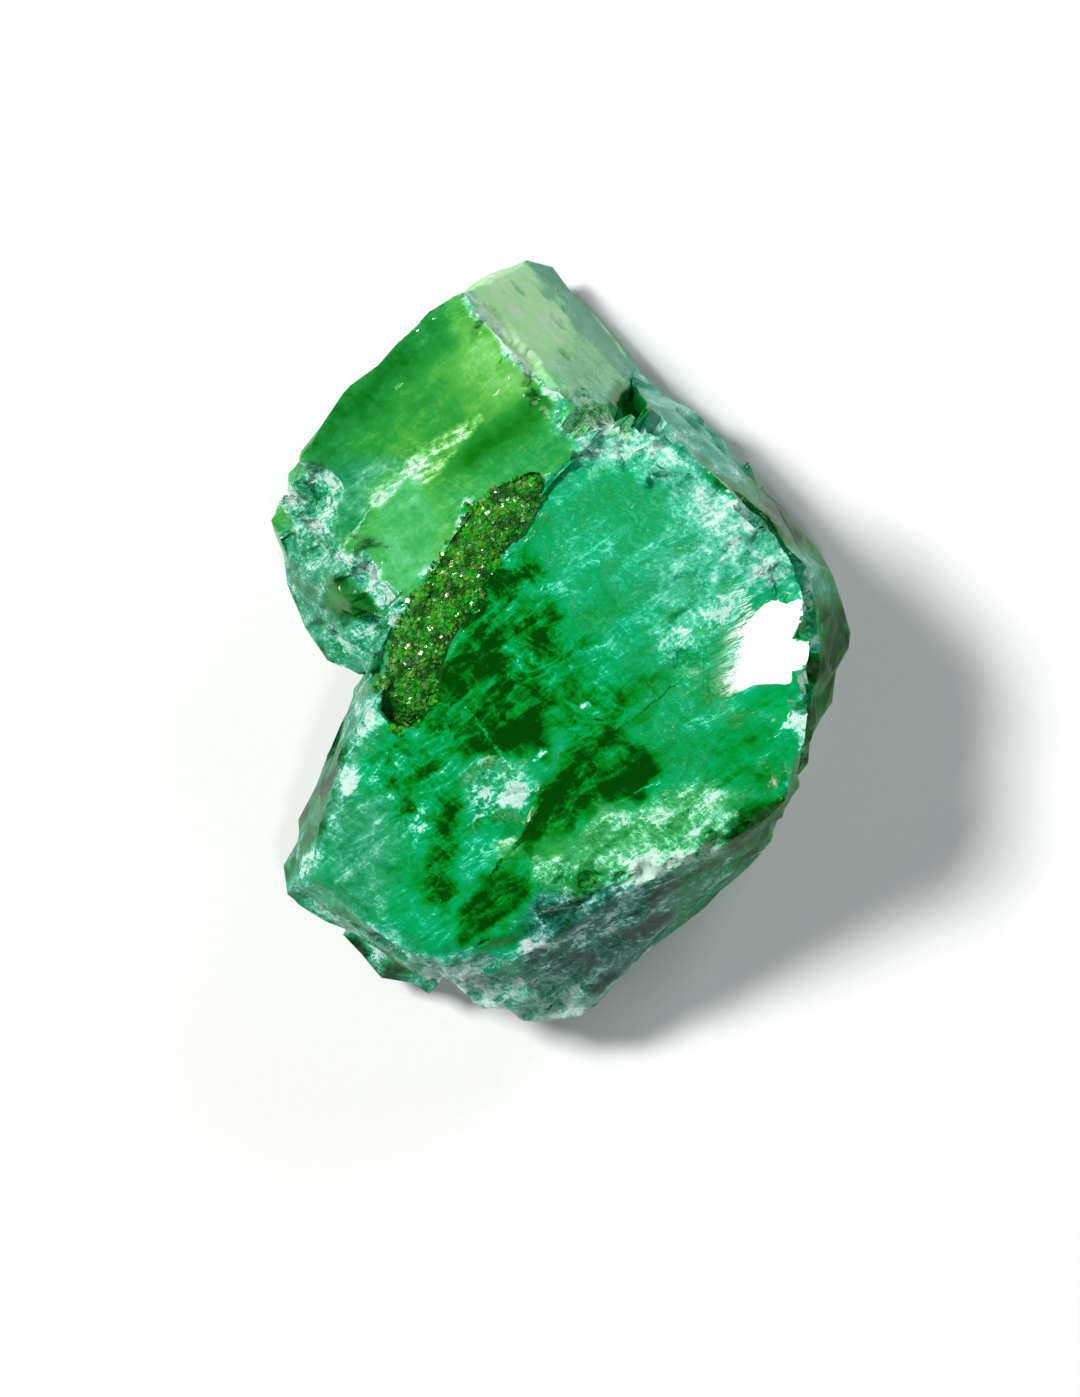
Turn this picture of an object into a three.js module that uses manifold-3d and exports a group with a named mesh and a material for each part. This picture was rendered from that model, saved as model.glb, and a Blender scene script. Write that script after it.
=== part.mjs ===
// A hand specimen of green fluorite: an upper cube and a larger main crystal grown together,
// broken off below, with a sugary crust of tiny crystals in the gully between the two.
// Millimetres, +Z up. The specimen lies on its broken base, and is seen best from straight above.

import * as THREE from "three";
import { ConvexGeometry } from "three/addons/geometries/ConvexGeometry.js";
import { TessellateModifier } from "three/addons/modifiers/TessellateModifier.js";
import { mergeVertices } from "three/addons/utils/BufferGeometryUtils.js";
import Module from "manifold-3d";

const wasm = await Module();
wasm.setup();

// Driving dimensions
const CUBE_TILT = 15; // degrees that the cube's top face leans down towards the lower left
const MAIN_TILT = 11.3; // the same for the main crystal's top face
const FACE_TURN = 45; // degrees from +X to the cube's long edges
const CUBE_PEAK = new THREE.Vector3(-7.9, 27.1, 27); // the cube's highest corner
const MAIN_LEVEL = 23.1; // height of the main crystal's top plane over the middle of the outline
const GROWTH_STEP = 0.9; // greatest height of the broken growth layer on the cube's top face
const GROWTH_RUN = 15; // length over which that step deepens
const PLATE_AT = 12.2; // how far to the right the smooth plate at the rim begins
const PLATE_FALL = 0.03; // how much the plate sinks for each millimetre to the right
const CRUST_GAP = 0.3; // clearance between the crust and the walls it grew on
const FACET_EDGE = 3.7; // longest facet edge, so that a broken surface can undulate
const MOST_SPLITS = 24; // how often a facet may be split to get there
const RELIEF = 0.42; // how far broken surfaces wander from flat
const CRUST_CRYSTAL = 1.05; // width of an average crust crystal
const CRUST_CRYSTALS = 90; // how many of them stand on the bed
const WELD = 1e-4; // corners nearer than this are one corner
const FULL_TURN = 2 * Math.PI;

const RISE = Math.tan(THREE.MathUtils.degToRad(CUBE_TILT));
const MAIN_RISE = Math.tan(THREE.MathUtils.degToRad(MAIN_TILT));
const UPHILL = new THREE.Vector2(
  Math.cos(THREE.MathUtils.degToRad(FACE_TURN)),
  Math.sin(THREE.MathUtils.degToRad(FACE_TURN)),
);

// Heights of the two top planes above a point of the base plane
const cubeTop = (x, y) =>
  CUBE_PEAK.z + RISE * ((x - CUBE_PEAK.x) * UPHILL.x + (y - CUBE_PEAK.y) * UPHILL.y);
const mainTop = (x, y) => MAIN_LEVEL + MAIN_RISE * (x * UPHILL.x + y * UPHILL.y);

// A repeatable random number source, from 0 to 1
function dice(seed) {
  let state = seed;
  return () => {
    state = (state * 1664525 + 1013904223) % 4294967296;
    return state / 4294967296;
  };
}

// Any turn in space
const anyTurn = (random) =>
  new THREE.Quaternion().setFromEuler(
    new THREE.Euler(FULL_TURN * random(), FULL_TURN * random(), FULL_TURN * random()),
  );

// A closed geometry as a solid that can be joined and cut
function solidOf(geometry, matrix = new THREE.Matrix4()) {
  const bare = geometry.clone().applyMatrix4(matrix);
  bare.deleteAttribute("normal");
  bare.deleteAttribute("uv");
  const merged = mergeVertices(bare, WELD);
  return new wasm.Manifold(
    new wasm.Mesh({
      numProp: 3,
      vertProperties: merged.attributes.position.array,
      triVerts: new Uint32Array(merged.index.array),
    }),
  );
}

// Chips that a cut has left loose are gone
const withoutCrumbs = (solid) =>
  solid.decompose().reduce((a, b) => (a.volume() > b.volume() ? a : b));

function geometryOf(solid) {
  const mesh = solid.getMesh();
  const geometry = new THREE.BufferGeometry();
  geometry.setAttribute("position", new THREE.BufferAttribute(mesh.vertProperties, 3));
  geometry.setIndex(new THREE.BufferAttribute(mesh.triVerts, 1));
  return geometry;
}

// The convex block with these corners
const block = (...corners) =>
  solidOf(new ConvexGeometry(corners.flat().map(([x, y, z]) => new THREE.Vector3(x, y, z))));

const onCube = (points) => points.map(([x, y]) => [x, y, cubeTop(x, y)]);
const onMain = (points) => points.map(([x, y, lift = 0]) => [x, y, mainTop(x, y) + lift]);
const atHeight = (z, points) => points.map(([x, y]) => [x, y, z]);

// Upper crystal: a cube tilted so that its upper right side shows, its left end broken off
function upperCube() {
  const topFace = onCube([
    [-7.9, 27.1], [-12.0, 23.8], [-16.7, 19.4], [-20.3, 14.5], [-20.4, 12.6],
    [-17.6, 7.2], [-14.0, 2.7], [-12.6, 0.2], [-10.4, 3.3], [-7.0, 7.9], [-3.9, 11.6],
    [-1.0, 13.6], [3.0, 16.2],
  ]);
  const rightSideFoot = [
    [-4.8, 29.6, 12], [-2.7, 30.5, 7], [-0.9, 29.9, 4.5], [2.3, 26.7, 3.5], [6.2, 22.2, 4],
  ];
  const brokenEnd = [
    [-22.5, 11.5, 13], [-22.8, 8.6, 10.5], [-21.7, 5.0, 9], [-20.2, 1.7, 8.5],
    [-18.4, -0.9, 9], [-16.1, -2.6, 10.5],
  ];
  const base = atHeight(-1, [
    [-18, 12], [-19.5, 8], [-17.5, 2], [-13.5, 20.5], [-8.5, 25.5], [-1.5, 28], [4.5, 21.5],
    [5, 8], [-10, -2],
  ]);
  return block(topFace, rightSideFoot, brokenEnd, base);
}

// Main crystal: a broad sloping top with a rounded upper right rim, cut back underneath
function mainCrystal() {
  const topFace = onMain([
    [6.0, 17.6, -0.3], [2.4, 16.6, 0.1], [-1.2, 12.3], [-4.7, 7.6], [-8.4, 2.2], [-10.2, -3.2],
    [-13.8, -3.8, -0.4], [-16.8, -8.4, -0.4], [-18.9, -14.2, -0.5], [-19.7, -18.2, -0.9],
    [-15.0, -22.4, -0.9], [-10.1, -24.8, -1.0], [-3.8, -24.6, -1.4], [-1.7, -18.3, 0.2],
    [6.1, -17.3, 0.3], [9.0, -17.0, 0.3], [17.1, -11.7, -0.1], [18.5, -7.6, 0.1],
    [19.2, -3.5, 0.4], [19.1, 2.0, 0.3], [18.2, 5.7, 0.1], [16.4, 8.8, -0.2], [10.8, 13.1, -0.1],
  ]);
  const leftFoot = [
    [-21.8, -19.3, 8], [-21.8, -17.6, 8], [-20.5, -13.5, 8.5], [-18.7, -9.4, 9.5],
    [-16.9, -5.4, 10.5], [-15.8, -2.8, 10.5],
  ];
  const lowerEdge = [
    [-20.6, -20.4, 7.5], [-16.8, -22.8, 7], [-10.2, -27.1, 7], [-6.3, -28.7, 7.5],
    [-2.7, -29.8, 8], [1.2, -29.7, 8.5], [4.6, -26.0, 9.5], [8.0, -23.1, 9.5],
    [11.4, -20.4, 9], [14.5, -17.7, 8], [16.6, -15.2, 7.5], [18.4, -11.6, 7],
  ];
  const base = atHeight(-1, [
    [-17, -17], [-14, -20], [-7, -24], [0, -25], [5, -21], [11, -16], [15, -10], [17, -4],
    [17, 5], [10, 13], [2, 18], [-12, 6], [-13.5, -3], [-16, -10],
  ]);
  return block(topFace, leftFoot, lowerEdge, base);
}

// Right flank: the main crystal's lower shoulder, a growth stage that stands out below the rim
function rightFlank() {
  const shoulder = [
    [6.5, 18.0, 18.5], [11.2, 13.7, 18], [15.8, 10.2, 17], [19.0, 6.2, 16], [20.2, 1.0, 15],
    [19.7, -4.0, 14], [18.6, -8.0, 12.5],
  ];
  const outline = [
    [5.7, 22.4, 5], [7.9, 20.4, 7], [10.3, 18.5, 7.5], [14.4, 14.3, 7], [19.2, 9.2, 6.5],
    [21.7, 5.7, 6.5], [22.7, 3.4, 6], [22.8, -0.3, 5.5], [21.4, -4.2, 5], [20.2, -7.3, 4.5],
    [18.7, -11.2, 4.5],
  ];
  const base = atHeight(-1, [
    [4, 19], [10, 16.5], [16, 9.5], [19.5, 3.5], [19.8, -1], [17, -9], [0, -5], [0, 10],
  ]);
  return block(shoulder, outline, base);
}

// Lumps of the broken matrix edge: below the left corner, under the cube, and a knob on the flank
function edgeLumps() {
  const lowerLeft = block(
    [[-17.4, -22.7, 4], [-15.6, -24.7, 3.5], [-14.1, -26.3, 4], [-10.3, -27.8, 5]],
    [[-8.0, -26.6, 6.2], [-12.5, -23.5, 8], [-15.5, -21.5, 7]],
    atHeight(-1, [[-14.5, -21], [-12.5, -24.5], [-8, -25.5], [-9, -18], [-14, -17]]),
  );
  const lowerRight = block(
    [[3.0, -24.5, 2.5], [8.5, -19.8, 3.2], [13.2, -14.8, 4], [16.8, -8.5, 4.5]],
    [[0, -20, 12], [10, -12, 12], [14, -6, 12]],
    atHeight(-1, [[2, -22], [8, -18], [12.5, -13.5], [16, -8], [4, -8]]),
  );
  const knob = block([
    [15.1, 14.3, 7], [16.3, 12.6, 6.5], [15.9, 12.2, 8.6], [14.2, 13.6, 9], [14.8, 12.2, 9.4],
    [13.5, 12, 5], [15, 11, 5],
  ]);
  return lowerLeft.add(lowerRight).add(knob);
}

// A slab over an outline, its underside following a sloping plane
function slabOver(outline, height, thickness = 6) {
  const shape = new THREE.Shape(outline.map(([x, y]) => new THREE.Vector2(x, y)));
  const geometry = new THREE.ExtrudeGeometry(shape, { depth: thickness, bevelEnabled: false });
  const position = geometry.attributes.position;
  for (let i = 0; i < position.count; i += 1) {
    position.setZ(i, position.getZ(i) + height(position.getX(i), position.getY(i)));
  }
  return solidOf(geometry);
}

// The cube's last growth layer ends in a step that deepens towards the lower left
function growthStep() {
  const [startX, startY] = [-6.3, 17.3];
  const stepFloor = (x, y) => {
    const along = (startX - x) * UPHILL.x + (startY - y) * UPHILL.y;
    return cubeTop(x, y) - GROWTH_STEP * (along / GROWTH_RUN);
  };
  return slabOver(
    [
      [startX, startY], [-9.4, 15.1], [-10.8, 14.2], [-11.5, 13.8], [-13.5, 12.6],
      [-14.8, 10.7], [-17.6, 6.9], [-26, 4], [-28, 14], [-14.4, 25.4],
    ],
    stepFloor,
  );
}

// A smooth cleavage plate at the right rim, which bends away from the top and sinks to the right
function rimPlate() {
  const [left, top] = [11.2, 5.6];
  return slabOver(
    [
      [left, top], [14.2, 6.4], [15.8, 5.9], [16.6, 6.8], [17.7, 5.7], [18.6, 6.2], [26, 8],
      [27, 0], [26, -7], [19.4, -4.9], [18.6, -5.6], [17.6, -4.8], [16.0, -5.3], [13.4, -4.8],
      [left, -5.2],
    ],
    (x, y) => mainTop(PLATE_AT, y) - PLATE_FALL * (x - PLATE_AT),
  );
}

// A flat break: everything on the far side of a plane through a point is cut away
function breakAlong(solid, point, facing) {
  const normal = new THREE.Vector3(...facing).normalize();
  const reach = 80; // more than the specimen's length
  const turn = new THREE.Quaternion().setFromUnitVectors(new THREE.Vector3(0, 0, 1), normal);
  const centre = new THREE.Vector3(...point).addScaledVector(normal, reach / 2);
  const place = new THREE.Matrix4().compose(centre, turn, new THREE.Vector3(1, 1, 1));
  return solid.subtract(solidOf(new THREE.BoxGeometry(reach, reach, reach), place));
}

// Octahedral cleavage leaves three-sided steps: a corner block taken out at each given place
function cleavageNotch(at, size, turn) {
  const place = new THREE.Matrix4().compose(
    new THREE.Vector3(...at),
    new THREE.Quaternion().setFromEuler(
      new THREE.Euler(...turn.map((angle) => THREE.MathUtils.degToRad(angle))),
    ),
    new THREE.Vector3(...size),
  );
  return solidOf(new THREE.BoxGeometry(1, 1, 1), place);
}

// Small chips along an edge, each a flat-faced nick
function edgeChips(path, count, size, seed) {
  const random = dice(seed);
  const curve = new THREE.CurvePath();
  for (let i = 1; i < path.length; i += 1) {
    const from = new THREE.Vector3(...path[i - 1]);
    const to = new THREE.Vector3(...path[i]);
    curve.add(new THREE.LineCurve3(from, to));
  }
  const chips = [];
  for (let i = 0; i < count; i += 1) {
    const at = curve.getPointAt((i + 0.15 + 0.7 * random()) / count);
    const width = size * (0.5 + random());
    const turn = anyTurn(random);
    const scale = new THREE.Vector3(width, width * (0.5 + 0.5 * random()), width * 0.7);
    at.z += width * 0.35;
    const place = new THREE.Matrix4().compose(
      at,
      turn,
      scale,
    );
    chips.push(solidOf(new THREE.IcosahedronGeometry(1, 0), place));
  }
  return wasm.Manifold.union(chips);
}

// Slow waves that wander in three directions, about one unit high
function waves(p, along, across) {
  return (
    0.55 * Math.sin(1.31 * p.x * along + 0.83 * p.y + 0.57 * p.z + across) +
    0.35 * Math.sin(-0.94 * p.x + 1.63 * p.y * along - 0.71 * p.z + 2.1 * across) +
    0.25 * Math.sin(1.87 * p.x - 1.11 * p.y + 1.93 * p.z * along + 3.7 * across)
  );
}

const cubeFace = new THREE.Vector3(-RISE * UPHILL.x, -RISE * UPHILL.y, 1).normalize();
const sideFace = new THREE.Vector3(UPHILL.x, UPHILL.y, RISE).normalize();

// Broken surfaces undulate, while the cube's own growth faces stay flat and only their edges wander
function weathered(solid) {
  const fine = new TessellateModifier(FACET_EDGE, MOST_SPLITS).modify(geometryOf(solid).toNonIndexed());
  fine.deleteAttribute("normal");
  const merged = mergeVertices(fine, WELD);
  const position = merged.attributes.position;
  const p = new THREE.Vector3();
  for (let i = 0; i < position.count; i += 1) {
    p.fromBufferAttribute(position, i);
    const move = new THREE.Vector3(waves(p, 1, 0), waves(p, 0.8, 1.3), waves(p, 1.2, 2.6));
    const fromPeak = p.clone().sub(CUBE_PEAK);
    const inCube = p.y > p.x * -0.2 + 2;
    if (inCube && Math.abs(fromPeak.dot(cubeFace)) < 0.3) {
      move.addScaledVector(cubeFace, -move.dot(cubeFace));
    } else if (p.z > mainTop(p.x, p.y) - 1.5) {
      move.z *= 0.5;
    }
    if (Math.abs(fromPeak.dot(sideFace)) < 0.8 && p.x < 6.5) {
      move.addScaledVector(sideFace, -0.85 * move.dot(sideFace));
    }
    p.addScaledVector(move, RELIEF);
    position.setXYZ(i, p.x, p.y, p.z);
  }
  return solidOf(merged);
}

// The whole intergrown specimen, one solid
function fluorite() {
  const grown = upperCube().add(mainCrystal()).add(rightFlank()).add(edgeLumps());
  let body = weathered(grown).subtract(growthStep()).subtract(rimPlate());

  const notches = [
    [[-21.0, 12.8, 22.4], [4.6, 5.2, 3], [20, -14, 24]],
    [[-19.4, 9.0, 21.6], [3.6, 4.4, 2.2], [-12, -22, 52]],
    [[-22.6, 8.6, 15.2], [3.2, 5, 4], [8, 24, 12]],
    [[-16.2, 3.6, 20.2], [3.4, 3.2, 2.4], [14, -30, 36]],
    [[5.2, 19.8, 19.6], [2.6, 2.0, 5], [18, 10, 30]],
    [[-6.0, -11.6, 22.3], [3.6, 1.3, 1.6], [10, 22, 58]],
    [[-3.4, -10.6, 22.5], [2.4, 1.0, 1.4], [-14, 10, 40]],
    [[-16.4, -17.6, 19.5], [2.6, 4.6, 1.7], [12, 16, 34]],
    [[-12.6, -15.2, 20.1], [3.0, 1.6, 1.4], [-8, 14, 48]],
    [[12.6, -15.6, 22.4], [5.2, 1.5, 1.7], [24, -6, 33]],
  ];
  for (const [at, size, turn] of notches) {
    body = body.subtract(cleavageNotch(at, size, turn));
  }

  // Every edge: the height it follows, its course, how many chips, their size
  const edges = [
    [onCube([[-7.8, 26.9], [-3.9, 23.1], [-0.6, 19.7], [3.0, 16.4]]), 10, 0.8],
    [onCube([[-20.4, 14.6], [-17.2, 19.4], [-12.5, 23.9], [-8.4, 26.8]]), 7, 0.6],
    [onMain([[2.4, 16.8], [6.1, 17.8], [10.9, 13.2], [16.6, 8.9], [18.4, 5.8]]), 9, 0.9],
    [onMain([[17.8, -10.4], [10, -17], [6.2, -18], [-1.6, -18.6]]), 9, 1.1],
    [onMain([[-13.9, -3.6], [-16.9, -8.3], [-19, -14.2], [-19.8, -18.3]]), 6, 0.8],
    [onMain([[-19.6, -18.6], [-15.2, -22.3], [-9.8, -24.9], [-4, -25]]), 7, 0.9],
  ];
  edges.forEach(([course, count, size], i) => {
    body = body.subtract(edgeChips(course, count, size, 11 + 13 * i));
  });

  body = body.subtract(gully(CRUST_GAP));
  return withoutCrumbs(breakAlong(body, [0, 0, 0], [0, 0, -1]));
}

// The gully's middle line: x, y, height of the crust's bed and half width
const GULLY = [
  [-2.2, 12.4, 23.1, 0.6], [-4.6, 10.2, 21.9, 1.5], [-6.8, 7.4, 20.7, 1.5],
  [-8.1, 5.1, 20.0, 1.4], [-9.1, 2.8, 19.3, 1.3], [-10.0, 0.6, 18.6, 1.1],
  [-10.9, -1.8, 17.8, 1.1], [-12.3, -4.6, 17.0, 1.5],
];
const BED_DEPTH = 1.5; // half height of the bed
const GULLY_REACH = 9; // how far the walls go up
const GULLY_SPLAY = 1.25; // how much wider the gully is at that height

// The space of the gully, its walls moved out by a margin
function gully(margin) {
  const rings = GULLY.map(([x, y, z, r]) => {
    const ring = [];
    for (let k = 0; k < 8; k += 1) {
      const angle = (k * Math.PI) / 4 + 0.3;
      const [across, along] = [Math.cos(angle), Math.sin(angle)];
      const [low, wide] = [r * 0.7 + margin, r * GULLY_SPLAY + margin];
      ring.push([x + low * across, y + low * along, z - BED_DEPTH - margin]);
      ring.push([x + (r + margin) * across, y + (r + margin) * along, z]);
      ring.push([x + wide * across, y + wide * along, z + GULLY_REACH]);
    }
    return ring;
  });
  return wasm.Manifold.union(rings.slice(1).map((ring, i) => block(rings[i], ring)));
}

// The crust: a bed along the gully, thick with small cubes turned every way
function crust() {
  const lump = ([x, y, z, r]) => {
    const geometry = new THREE.IcosahedronGeometry(1, 1);
    geometry.scale(r * 1.3, r * 1.3, BED_DEPTH).translate(x, y, z);
    const position = geometry.attributes.position;
    return Array.from({ length: position.count }, (_, i) => [
      position.getX(i), position.getY(i), position.getZ(i),
    ]);
  };
  const pieces = [];
  for (let i = 1; i < GULLY.length; i += 1) {
    pieces.push(block(lump(GULLY[i - 1]), lump(GULLY[i])));
  }
  const random = dice(5);
  for (let i = 0; i < CRUST_CRYSTALS; i += 1) {
    const share = ((i + random()) / CRUST_CRYSTALS) * (GULLY.length - 1);
    const from = GULLY[Math.floor(share)];
    const to = GULLY[Math.ceil(share)];
    const [x, y, z, r] = from.map((v, k) => v + (to[k] - v) * (share % 1));
    const across = (2 * random() - 1) * r;
    const top = BED_DEPTH * Math.sqrt(1 - (0.75 * across / r) ** 2);
    const width = CRUST_CRYSTAL * (0.55 + 0.75 * random());
    const turn = anyTurn(random);
    const place = new THREE.Matrix4().compose(
      new THREE.Vector3(x + across * 0.8, y - across * 0.6, z + top - 0.107 * width),
      turn,
      new THREE.Vector3(width, width, width),
    );
    pieces.push(solidOf(new THREE.BoxGeometry(1, 1, 1), place));
  }
  return withoutCrumbs(wasm.Manifold.union(pieces).intersect(gully(0)));
}

function named(name, solid, material) {
  const mesh = new THREE.Mesh(geometryOf(solid), material);
  mesh.name = name;
  return mesh;
}

const clearGreen = new THREE.MeshStandardMaterial({
  color: 0x1f9a55, roughness: 0.25, metalness: 0,
});
const goldenGreen = new THREE.MeshStandardMaterial({
  color: 0x7d9a34, roughness: 0.5, metalness: 0,
});

const crystals = fluorite();
const specimen = new THREE.Group();
specimen.add(named("fluorite", crystals, clearGreen));
specimen.add(named("druse_crust", crust(), goldenGreen));

// The origin is under the middle of the specimen, on the surface it lies on
const extent = new THREE.Box3().setFromObject(specimen);
const middle = extent.getCenter(new THREE.Vector3());
specimen.position.set(-middle.x, -middle.y, -extent.min.z);

export default specimen;
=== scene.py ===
"""The looks of a green fluorite specimen: intergrown crystals with a sugary crust between them.

Lengths are millimetres, x to the right and y towards the cube's peak as seen from above,
and become metres where a mesh is made.
"""

import itertools
import math
from typing import NamedTuple

import bmesh
import bpy
import numpy as np
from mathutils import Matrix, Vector


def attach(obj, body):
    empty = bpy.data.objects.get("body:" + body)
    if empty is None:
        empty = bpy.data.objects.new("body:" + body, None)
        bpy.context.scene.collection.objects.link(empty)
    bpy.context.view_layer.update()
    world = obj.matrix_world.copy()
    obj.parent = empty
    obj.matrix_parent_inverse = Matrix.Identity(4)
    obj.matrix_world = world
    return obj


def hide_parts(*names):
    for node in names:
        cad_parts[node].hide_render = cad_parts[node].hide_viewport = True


bl_info = {
    "name": "Fluorite specimen",
    "version": (1, 0, 0),
    "blender": (4, 5, 0),
    "location": "3D View > Sidebar > Fluorite",
    "description": "Builds the looks of a fluorite specimen round its packed solids",
    "category": "Object",
}

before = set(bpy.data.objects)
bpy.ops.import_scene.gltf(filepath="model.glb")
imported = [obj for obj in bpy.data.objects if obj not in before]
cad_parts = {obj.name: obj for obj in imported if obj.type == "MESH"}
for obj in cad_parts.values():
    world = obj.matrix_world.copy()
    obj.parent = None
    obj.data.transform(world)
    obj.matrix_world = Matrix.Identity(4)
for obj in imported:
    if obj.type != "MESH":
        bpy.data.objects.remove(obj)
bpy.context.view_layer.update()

MM = 0.001
SKETCH = np.array([0.05, 0.36, 0.0])  # the outlines below start this far from the specimen's middle
UPHILL = np.array([math.sqrt(0.5), math.sqrt(0.5), 0.0])  # both top faces rise this way
ACROSS = np.array([-math.sqrt(0.5), math.sqrt(0.5), 0.0])
MAIN_LEVEL = 23.1  # height of the main crystal's top plane over the start of the outlines
MAIN_RISE = math.tan(math.radians(11.3))
FLUORITE_IOR = 1.434

# The stone's colours, linear, from clear and dark to milky and white
CLEAR_RAMP = [
    (0.0, (0.0001, 0.062, 0.0002)),
    (0.24, (0.0004, 0.270, 0.014)),
    (0.46, (0.001, 0.400, 0.100)),
    (0.62, (0.001, 0.440, 0.150)),
    (0.76, (0.006, 0.590, 0.290)),
    (0.90, (0.130, 0.800, 0.530)),
    (1.0, (0.660, 0.960, 0.840)),
]
LEAF_RAMP = [
    (0.0, (0.001, 0.085, 0.0008)),
    (0.24, (0.006, 0.210, 0.006)),
    (0.46, (0.030, 0.370, 0.050)),
    (0.62, (0.130, 0.580, 0.085)),
    (0.76, (0.300, 0.810, 0.260)),
    (0.90, (0.480, 0.980, 0.440)),
    (1.0, (0.850, 0.970, 0.850)),
]
SLATE_RAMP = [
    (0.0, (0.001, 0.030, 0.016)),
    (0.24, (0.006, 0.075, 0.055)),
    (0.46, (0.020, 0.190, 0.180)),
    (0.62, (0.070, 0.330, 0.320)),
    (0.76, (0.200, 0.520, 0.500)),
    (0.90, (0.420, 0.720, 0.680)),
    (1.0, (0.850, 0.970, 0.970)),
]

# Outlines on the specimen as seen from above, in mm
CUBE = [
    (-8, 30), (-25, 15), (-25, -2), (-13.5, -2), (-10.6, 2.0), (-8.4, 6.4), (-6, 9.6),
    (-3.4, 11.6), (-0.8, 13.4), (3.2, 16.4), (8, 24), (0, 32),
]
MAIN_TOP = [
    (2.4, 16.6), (-1.2, 12.3), (-4.7, 7.6), (-8.4, 2.2), (-10.2, -3.2), (-13.8, -3.8),
    (-18.9, -14.2), (-19.7, -18.2), (-10.1, -24.8), (-3.8, -24.6), (-1.7, -18.3), (9, -17),
    (17.1, -11.7), (19.2, -3.5), (18.2, 5.7), (10.8, 13.1), (6, 17.6),
]
BROKEN_END = [
    (-17.6, 6.9), (-15.7, 4.9), (-13.9, 3.1), (-13.3, 0.5), (-16, -5), (-25, 3), (-21, 12),
]
FLANK = [
    (6.6, 17.9), (9.1, 15.1), (11.9, 12.0), (14.9, 10.4), (16.6, 8.7), (17.5, 6.9), (18.5, 4.2),
    (19.4, 2.0), (19.7, -1), (19.4, -4.5), (19.1, -8), (18.7, -11.5), (24, -10), (26, 5),
    (10, 24), (5.3, 23), (5.8, 19.5),
]
FEATHER = [(8.0, 3.6), (9.6, 6.0), (14.0, 6.8), (13.6, 3.0), (12.6, -5.6), (8.6, -3.6)]
PLATE_EDGE = [(11.9, 4.4), (11.6, -1.4), (13.4, -4.2)]
PLATE = [(11.8, 5.2), (14.2, 6.2), (18.6, 6.2), (21, 0), (19.4, -4.9), (16, -5), (12, -4.8)]


class Zone(NamedTuple):
    """A part of the surface seen from above, and what the stone is like there."""

    outline: list  # its corners, or its course if width is set
    blur: float  # how softly it ends, in mm
    milk: float  # from 0, clear and dark, to 1, white
    torn: float  # how broken it is, from 0 to 1
    leaf: float = 0  # share of yellow green
    slate: float = 0  # share of blue grey
    width: float = 0  # half width of a course


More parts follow.
